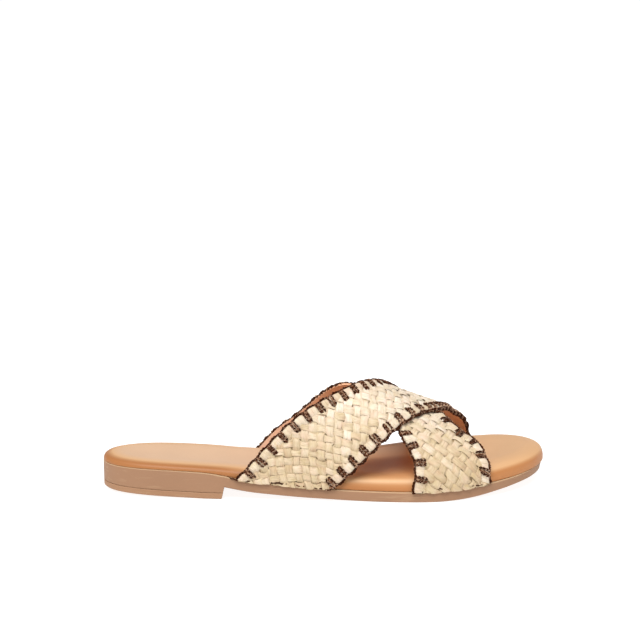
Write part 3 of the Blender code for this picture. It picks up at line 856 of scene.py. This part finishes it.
def plaiting(strap, weave):
    """Strips of raffia over and under each other, both ways across a strap."""
    surface = Surface()
    # Sheet behind the strips, in the darkest tint as painted shade in the holes between them
    backing = strap.grid(BACKING_INSET, BACKING_INSET)
    surface.sheet(surface.add(strap.raised(backing, BACKING_HEIGHT), BACKING_SHADE_TINT, backing))
    along, beside = np.concatenate([strap.limits[side] for side in INWARD], axis=1)
    for family, lean in enumerate((1, -1)):
        running = (along + lean * beside) / math.sqrt(2) / weave["pitch"][1 - family]
        resting = (beside - lean * along) / math.sqrt(2) / weave["pitch"][family]
        crossings = np.arange(math.floor(running.min()) - 1, math.ceil(running.max()) + 2)
        for strip in range(math.floor(resting.min()), math.ceil(resting.max()) + 1):
            lay_strip(surface, strap, weave, family, lean, strip, crossings)
    return surface


def lay_strip(surface, strap, weave, family, lean, strip, crossings):
    """One strip of a family, over and under at its crossings, where it lies inside the strap."""
    count = len(crossings)
    wander = RNG.normal(0, STRIP_WANDER, count)
    width = weave["width"][family] * (1 + RNG.normal(0, STRIP_WIDTH_SPREAD))
    widths = width * (1 + RNG.normal(0, FLOAT_WIDTH_SPREAD, count))
    rolls = RNG.normal(0, FLOAT_ROLL, count)
    folds = RNG.normal(0, FLOAT_FOLD, count)
    tint = weave["tint"] + RNG.normal(0, STRIP_TINT_SPREAD)
    tints = tint + RNG.normal(0, FLOAT_TINT_SPREAD, count)
    hang = RNG.uniform(*STRIP_HANG)

    side, up, fold = (np.array(STRIP_SECTION[part]) for part in ("side", "up", "fold"))
    rest_pitch = weave["pitch"][family]
    place = np.arange(crossings[0], crossings[-1], 1 / STEPS_PER_CROSSING)
    run = place[:, None] * weave["pitch"][1 - family]
    wave = np.cos(np.pi * (place + strip + family))
    over = smooth(crossings, widths, place)
    half_width = (over + (rest_pitch - over) * ease(*WIDENING_WAVE, wave))[:, None] / 2
    offset = (strip * rest_pitch + smooth(crossings, wander, place))[:, None] + half_width * side
    along = (run - lean * offset) / math.sqrt(2)
    beside = (lean * run + offset) / math.sqrt(2)
    flat = strap.flat(along, beside)
    rise = FLOAT_RISE * np.tanh(FLOAT_FLATNESS * wave) / math.tanh(FLOAT_FLATNESS)
    tilt = smooth(crossings, rolls, place)[:, None] * side + smooth(crossings, folds, place)[:, None] * fold
    heights = STRIP_LEVEL + rise[:, None] + up * STRIP_THICKNESS + tilt
    # Painted shade in the tints: darker and yellower towards the feet and at the ends of the floats
    # The section's last point is under the strip's middle
    shade = leaf_shade(LAST.girth_share(flat[:, -1]), wave, np.interp(np.round(place), crossings, tints))
    chart_run = run + STRIP_CHART_SHIFT * strip + FAMILY_CHART_SHIFT * family
    places = np.stack(np.broadcast_arrays(chart_run, half_width * side), axis=-1)
    past_foot = np.abs(flat[..., 1]) - LAST.girth(flat[..., 0])
    inside = strap.depth(along[:, -1], beside[:, -1]) > STRIP_HIDDEN_AT_EDGE
    inside &= past_foot.min(axis=1) < hang
    for first, last in runs_of(inside):
        part = slice(first, last)
        points = strap.raised(flat[part], heights[part])
        points[..., 2] -= np.clip(past_foot[part], 0, hang)
        numbers = surface.add(points, shade[part, None], places[part])
        surface.tube(numbers[:, ::lean])


def leaf_shade(shares, wave, tints):
    """Tints along a strip, with painted shade: darker and yellower towards the feet, and darker where it goes
    under another one.
    """
    mean = LEAF_TINT_AND_PAINTED_SHADE[0] + (LEAF_TINT_AND_PAINTED_SHADE[1] - LEAF_TINT_AND_PAINTED_SHADE[0]) * ease(*LEAF_TINT_SHARES, shares)
    return np.clip(mean + tints - FLOAT_END_SHADE * ease(*DARKENING_WAVE, wave), *LEAF_TINTS)


def runs_of(flags):
    """First and last-plus-one of each run of true flags that has room for a strip."""
    marks = np.flatnonzero(np.diff(np.concatenate([[0], flags.astype(int), [0]])))
    return [(a, b) for a, b in zip(marks[::2], marks[1::2]) if b - a > 2]


def edge_pads(edges):
    """Rolled raffia along the edges, pinched into pads by the stitches."""
    surface = Surface()
    inward = np.array(PAD_SECTION["inward"])
    height = np.array(PAD_SECTION["height"])
    share = np.linspace(0, 1, PAD_STEPS)[:, None]
    around = np.linspace(0, PAD_GIRTH, len(inward))
    half_turn = np.linspace(0, np.pi, len(inward))
    for edge in edges:
        bounds = np.concatenate([[-BAR_HALF_WIDTH], edge.stitches, [edge.length + BAR_HALF_WIDTH]])
        for low, high in zip(bounds, bounds[1:]):
            start = low + PAD_GAP
            stop = high - PAD_GAP
            swell = 1 - PAD_PINCH * np.abs(2 * share - 1) ** 3
            swell *= 1 + RNG.normal(0, PAD_SWELL_SPREAD)
            crease = np.cos(2 * np.pi * (RNG.uniform(*PAD_CREASE_COUNTS) * share + RNG.uniform()))
            crease = crease * np.sin(half_turn + RNG.normal(0, PAD_CREASE_SHIFT))
            reach = PAD_CENTRE[0] + (inward - PAD_CENTRE[0]) * swell
            level = PAD_CENTRE[1] + (height - PAD_CENTRE[1]) * swell + PAD_CREASE * crease
            walk = np.broadcast_to(start + (stop - start) * share, reach.shape)
            places = np.stack(np.broadcast_arrays(around + PAD_CHART_SHIFT * low, walk), axis=-1)
            surface.tube(surface.add(edge.raised(walk, reach, level), RNG.uniform(*PAD_TINTS), places))
    return surface


def edge_bars(edges):
    """Whip stitches: twisted legs of dark thread side by side, over the rolled edge to the lining."""
    surface = Surface()
    share = np.linspace(0, 1, BAR_STEPS)
    knots = np.linspace(0, 1, len(BAR_PATH["inward"]))
    inward = smooth(knots, BAR_PATH["inward"], share)
    height = smooth(knots, BAR_PATH["height"], share)
    twists = share * np.hypot(np.diff(inward), np.diff(height)).sum() / BAR_TWIST_LENGTH
    closing = 1 - BAR_CLOSING * (1 - ease(0, BAR_CLOSING_END, share))
    inner_end = 1 - ease(0, BAR_END_SPREAD_END, share)
    bend = np.exp(-(((share - BAR_BEND_PLACE) / BAR_BEND_REACH) ** 2))
    for edge in edges:
        for stitch, room in zip(edge.stitches, np.gradient(edge.stitches)):
            spacing = BAR_SPACING[edge.side] * min(1, room / BAR_FULL_PITCH)
            for leg, tints in BAR_LEGS:
                beside = (leg * spacing + RNG.normal(0, BAR_LEG_SPREAD)) * closing
                beside = beside + RNG.normal(0, BAR_LEG_LEAN) * (share - 0.5)
                reach = inward - RNG.uniform(0, BAR_END_SPREAD) * inner_end
                turn = 2 * np.pi * (twists + RNG.uniform())
                for ply in STRANDS:
                    walk = stitch + beside + BAR_TWIST_RADIUS * np.cos(turn + ply)
                    level = height + BAR_TWIST_RADIUS * np.sin(turn + ply)
                    path = edge.raised(walk, reach, level)
                    hint = edge.raised(walk + HINT_STEP, reach, level) - path
                    tint = RNG.uniform(*tints) + RNG.uniform(0, BAR_BEND_PALENESS) * bend
                    sweep(surface, path, hint, BAR_PLY_RADIUS, tint[:, None])
    return surface


def edge_cords(edges):
    """Twisted cords from stitch to stitch round the outside of the pads and along the lining."""
    surface = Surface()
    for edge in edges:
        twist = CORD_TWIST_RADIUS[edge.side]
        walk = np.arange(CORD_END, edge.length - CORD_END, CORD_STEP)
        nearest = np.min(np.abs(walk[:, None] - edge.stitches), axis=1)
        bulge = ease(0, CORD_BULGE_REACH, nearest)
        for at_stitch, between, level in CORDS:
            middle = at_stitch + (between - at_stitch) * bulge
            for strand in STRANDS:
                turn = 2 * np.pi * walk / CORD_TWIST_LENGTH + strand
                inward = middle + twist * np.cos(turn)
                height = level + twist * np.sin(turn)
                path = edge.raised(walk, inward, height)
                hint = edge.raised(walk, inward, height + HINT_STEP) - path
                sweep(surface, path, hint, CORD_RADIUS[edge.side], RNG.uniform(*CORD_TINTS))
    return surface


def foot_threads(straps):
    """Bits of dark thread below the ends of the straps, partly stitching and partly standing in for the shade
    in the joint with the sole.
    """
    surface = Surface()
    sway, sway_turn = FOOT_THREAD_SWAY
    bob, bob_turn = FOOT_THREAD_BOB
    for title, strap in straps.items():
        for row in (0, strap.last_row):
            for low, high in FOOT_THREADS[title]:
                widths = np.linspace(low, high, int((high - low) * FOOT_THREAD_POINTS))
                flat = strap.ruled(np.array([row]), widths)[0]
                height = FOOT_THREAD_HEIGHT * ease(*FOOT_THREAD_TRAIL, widths)
                path = strap.raised(flat, height + sway * np.sin(widths * sway_turn))
                path[:, 2] -= FOOT_THREAD_DROP + bob * np.sin(widths * bob_turn)
                hint = np.broadcast_to((0, 0, 1), path.shape)
                sweep(surface, path, hint, FOOT_THREAD_RADIUS, RNG.uniform(*FOOT_THREAD_TINTS))
    return surface


class Nodes:
    """Short calls for the node tree of a material or a world."""

    def __init__(self, owner, shader):
        owner.use_nodes = True
        self.owner = owner
        self.tree = owner.node_tree
        self.shader = self.tree.nodes[shader]

    def put(self, socket, value):
        """Links a socket or sets its constant. Colours have three numbers."""
        if isinstance(value, bpy.types.NodeSocket):
            self.tree.links.new(value, socket)
        elif socket.type == "RGBA":
            socket.default_value = (*value, 1)
        else:
            socket.default_value = value

    def fill(self, node, inputs):
        for key, value in inputs.items():
            self.put(node.inputs[key.replace("_", " ")], value)

    def set(self, **inputs):
        self.fill(self.shader, inputs)

    def add(self, kind, output, settings=None, **inputs):
        """Adds a node and returns one of its outputs."""
        node = self.tree.nodes.new("ShaderNode" + kind)
        for key, value in (settings or {}).items():
            setattr(node, key, value)
        self.fill(node, inputs)
        return node.outputs[output]

    def tint(self):
        return self.add("Attribute", "Fac", {"attribute_name": "tint"})

    def place(self):
        return self.add("TexCoord", "Object")

    def strip_chart(self, along, beside):
        """The place on a strip in millimetres, scaled along and across it."""
        chart = self.add("UVMap", "UV", {"uv_map": "strip"})
        return self.add("Mapping", "Vector", Vector=chart, Scale=(along, beside, 1))

    def noise(self, vector, scale, detail, roughness=0.5):
        return self.add("TexNoise", "Fac", Vector=vector, Scale=scale, Detail=detail, Roughness=roughness)

    def ramp(self, value, stops):
        colour_out = self.add("ValToRGB", "Color", Fac=value)
        ends = colour_out.node.color_ramp.elements
        while len(ends) < len(stops):
            ends.new(0.5)
        for end, (place, colour) in zip(ends, stops):
            end.position = place
            end.color = (*colour, 1)
        return colour_out

    def grey_ramp(self, value, *stops):
        return self.ramp(value, [(place, (level, level, level)) for place, level in stops])

    def mix(self, share, first, second, blend="MIX"):
        node = self.add("Mix", 2, {"data_type": "RGBA", "blend_type": blend}).node
        for number, value in ((0, share), (6, first), (7, second)):
            self.put(node.inputs[number], value)
        return node.outputs[2]

    def multiply(self, first, second):
        return self.mix(1, first, second, "MULTIPLY")

    def reach(self, value, low, high):
        return self.add("MapRange", "Result", Value=value, To_Min=low, To_Max=high)

    def bump(self, height, strength, distance, **below):
        return self.add("Bump", "Normal", Height=height, Strength=strength, Distance=distance, **below)


def surface_nodes(name, roughness):
    """Nodes of a new material, with its mean roughness for readers that skip the noise."""
    n = Nodes(bpy.data.materials.new(name), "Principled BSDF")
    n.set(Roughness=roughness)
    return n


def raffia(name, stops):
    """Flat dried leaf: fibres along the strip and a soft sheen."""
    n = surface_nodes(name, 0.5)
    fibres = n.noise(n.strip_chart(0.1, 2.2), 1, 4, 0.6)
    folds = n.noise(n.strip_chart(0.05, 1.1), 1, 2)
    blotches = n.noise(n.strip_chart(0.35, 0.5), 1, 2)
    patches = n.noise(n.strip_chart(0.2, 0.2), 1, 1)
    aged = n.ramp(blotches, ((0.32, (0.9, 0.87, 0.8)), (0.6, WHITE)))
    streaked = n.ramp(fibres, ((0.3, (0.72, 0.68, 0.58)), (0.47, WHITE), (0.72, (1.08, 1.075, 1.05))))
    hue = n.ramp(patches, ((0.32, (0.99, 1, 0.95)), (0.5, WHITE), (0.66, (1.03, 0.97, 0.99))))
    leaf = n.ramp(n.tint(), stops)
    for layer in (aged, streaked, hue):
        leaf = n.multiply(leaf, layer)
    n.set(
        Base_Color=leaf,
        Roughness=n.reach(fibres, 0.42, 0.62),
        Specular_IOR_Level=0.4,
        Sheen_Weight=0.08,
        Normal=n.bump(fibres, 0.55, 0.00025, Normal=n.bump(folds, 0.5, 0.0006)),
    )
    return n.owner


def thread(name, fleck_start):
    """Dark brown twisted thread with paler flecks above a level of the noise: partly pale fibre between the
    strands and partly painted highlights.
    """
    n = surface_nodes(name, 0.55)
    chart = n.strip_chart(1.1, 0.9)
    ply = n.add("TexWave", "Fac", {"bands_direction": "DIAGONAL"}, Vector=chart, Scale=0.5, Distortion=1.5)
    flecks = n.noise(n.strip_chart(0.75, 0.3), 1, 1)
    brown = n.ramp(n.tint(), (
        (0, (0.034, 0.0075, 0.002)),
        (0.45, (0.07, 0.019, 0.006)),
        (0.75, (0.18, 0.066, 0.028)),
        (1, (0.52, 0.32, 0.2)),
    ))
    # Pale flecks: partly paler fibre, partly painted highlights on the thread
    pale = n.grey_ramp(flecks, (fleck_start, 0), (fleck_start + 0.05, 0.85))
    n.set(
        Base_Color=n.mix(pale, brown, (0.6, 0.39, 0.265)),
        Roughness=n.reach(flecks, 0.5, 0.75),
        Specular_IOR_Level=0.06,
        Normal=n.bump(ply, 0.6, 0.0003),
    )
    return n.owner


def leather(name, body, crest, edge_and_painted_shade_tones, reach, grain, gloss):
    """Smooth tanned leather with heel and toe tones, darker where the tint marks an edge: partly the edge's
    own colour and partly painted shade.
    """
    n = surface_nodes(name, gloss)
    place = n.place()
    along = n.add("SeparateXYZ", "X", Vector=place)
    forward = n.add("MapRange", "Result", Value=along, From_Min=reach[0], From_Max=reach[1])
    settings = {"feature": "SMOOTH_F1"}
    cells = n.add("TexVoronoi", "Distance", settings, Vector=place, Scale=grain, Smoothness=0.6)
    pores = n.noise(place, grain * 1.7, 4, 0.6)
    cloud = n.noise(place, 38, 3)
    tint = n.tint()
    to_crest = n.grey_ramp(tint, (0, 0), (0.5, 1))
    to_wall = n.grey_ramp(tint, (0.5, 0), (0.95, 1))
    # Towards the dark wall colour: partly the edge's own colour and partly painted shade
    tone = n.mix(to_wall, n.mix(to_crest, n.mix(forward, *body), crest), n.mix(forward, *edge_and_painted_shade_tones))
    shade = n.ramp(cloud, ((0.3, (0.96, 0.95, 0.94)), (0.65, (1.02, 1.015, 1.01))))
    n.set(
        Base_Color=n.multiply(tone, shade),
        Roughness=n.reach(pores, gloss - 0.06, gloss + 0.1),
        Specular_IOR_Level=0.35,
        Normal=n.bump(pores, 0.1, 0.0002, Normal=n.bump(cells, 0.12, 0.0003)),
    )
    return n.owner


def rubber(name, body, rim):
    """Matte moulded rubber with a paler rim, a painted highlight along the rounded top edge, and faint rubbed
    streaks along it.
    """
    n = surface_nodes(name, 0.6)
    place = n.place()
    stretched = n.add("Mapping", "Vector", Vector=place, Scale=(0.16, 0.5, 2.2))
    streaks = n.noise(stretched, 260, 3, 0.6)
    speckle = n.noise(place, 900, 3, 0.6)
    cloud = n.noise(place, 30, 2)
    shade = n.ramp(cloud, ((0.3, (0.95, 0.94, 0.93)), (0.7, (1.03, 1.03, 1.03))))
    wear_and_painted_shade = n.grey_ramp(streaks, (0.6, 0), (0.68, 0.28))
    n.set(
        Base_Color=n.mix(wear_and_painted_shade, n.multiply(n.mix(n.tint(), body, rim), shade), rim),
        Roughness=n.reach(speckle, 0.52, 0.7),
        Specular_IOR_Level=0.35,
        Normal=n.bump(speckle, 0.15, 0.0002),
    )
    return n.owner


def floor_material():
    """White light table, lit from below."""
    n = surface_nodes("pale_floor", 0.8)
    n.set(Base_Color=(0.34, 0.34, 0.34), Specular_IOR_Level=0.1, Emission_Color=WHITE, Emission_Strength=0.88)
    return n.owner


def build_sole():
    tan = leather(
        "footbed_tan_leather",
        body=((0.66, 0.43, 0.272), (0.612, 0.364, 0.192)),
        crest=(0.66, 0.385, 0.19),
        edge_and_painted_shade_tones=((0.385, 0.152, 0.047), (0.484, 0.2, 0.066)),
        reach=(-0.04, 0.06),
        grain=2300,
        gloss=0.44,
    )
    outsole(rubber("outsole_brown_rubber", (0.338, 0.183, 0.101), (0.5, 0.33, 0.19)))
    heel_top_lift(rubber("lift_brown_rubber", (0.361, 0.193, 0.103), (0.45, 0.29, 0.165)))
    footbed(tan)


def build_straps():
    leaf = raffia("raffia_strips", (
        (0, (0.4, 0.28, 0.155)),
        (0.12, (0.575, 0.43, 0.265)),
        (0.4, (0.655, 0.515, 0.34)),
        (0.75, (0.775, 0.646, 0.505)),
        (1, (0.855, 0.77, 0.64)),
    ))
    edge_leaf = raffia("raffia_edge_pads", (
        (0, (0.67, 0.52, 0.37)),
        (0.5, (0.715, 0.58, 0.43)),
        (1, (0.765, 0.655, 0.52)),
    ))
    stitch_thread = thread("stitch_thread", 0.55)
    cord_thread = thread("cord_thread", 0.62)
    # The lining is painted lighter towards the heel, as light on its rear lip, and darker and more orange
    # towards the toe, as shade inside the straps
    tones = ((0.93, 0.68, 0.52), (0.78, 0.4, 0.22))
    cognac = leather("lining_leather", tones, tones[1], tones, reach=(-0.045, 0.005), grain=2600, gloss=0.5)
    top = Strap(TOP_STRAP)
    straps = {"top": top, "lower": Strap(LOWER_STRAP, covered_by=top)}
    for title, strap in straps.items():
        lining(strap, LINING_REAR_INSET[title]).piece(title + "_strap_lining", cognac, "upper")
    for title, strap in straps.items():
        plaiting(strap, WEAVES[title]).piece(title + "_strap_plaiting", leaf, "upper")
    for title, strap in straps.items():
        edges = [Edge(strap, title, side) for side in INWARD]
        edge_pads(edges).piece(title + "_strap_edge_pads", edge_leaf, "upper")
        edge_bars(edges).piece(title + "_strap_stitches", stitch_thread, "upper")
        edge_cords(edges).piece(title + "_strap_edge_cord", cord_thread, "upper")
    foot_threads(straps).piece("strap_foot_threads", cord_thread, "upper")


def build_camera():
    azimuth = math.radians(CAMERA_AZIMUTH_DEG)
    pitch = math.radians(CAMERA_PITCH_DEG)
    level = math.cos(pitch)
    look = Vector((math.sin(azimuth) * level, math.cos(azimuth) * level, -math.sin(pitch)))
    data = bpy.data.cameras.new("camera")
    data.sensor_width = SENSOR_WIDTH
    data.lens = FOCAL_PIXELS / IMAGE_SIDE * SENSOR_WIDTH
    data.clip_start, data.clip_end = CAMERA_CLIP_M
    camera = bpy.data.objects.new("camera", data)
    roll = Matrix.Rotation(-math.radians(CAMERA_ROLL_DEG), 3, "Z")
    turn = look.to_track_quat("-Z", "Y").to_matrix() @ roll
    camera.matrix_world = Matrix.Translation(Vector(CAMERA_PLACE) * MM) @ turn.to_4x4()
    bpy.context.scene.collection.objects.link(camera)
    bpy.context.scene.camera = camera


def build_floor():
    bpy.ops.mesh.primitive_circle_add(
        vertices=FLOOR_SIDES, radius=FLOOR_RADIUS, fill_type="NGON", location=(0, 0, -FLOOR_DROP)
    )
    floor = bpy.context.object
    floor.name = "floor"
    floor.data.materials.append(floor_material())


def build_lights():
    """White surroundings and one large soft light from above the camera's side."""
    n = Nodes(bpy.data.worlds.new("studio"), "Background")
    height = n.add("SeparateXYZ", "Z", Vector=n.add("TexCoord", "Generated"))
    n.set(Color=n.grey_ramp(height, *SKY), Strength=SKY_STRENGTH)
    bpy.context.scene.world = n.owner
    data = bpy.data.lights.new("key", "SUN")
    data.angle = math.radians(KEY_LIGHT["angle_deg"])
    data.energy = KEY_LIGHT["strength"]
    light = bpy.data.objects.new("key", data)
    light.rotation_euler = Vector(KEY_LIGHT["place"]).to_track_quat("Z", "Y").to_euler()
    bpy.context.scene.collection.objects.link(light)
    bpy.context.scene.view_settings.view_transform = "Standard"
    bpy.context.scene.view_settings.look = "None"


build_camera()
build_sole()
build_straps()
build_floor()
build_lights()
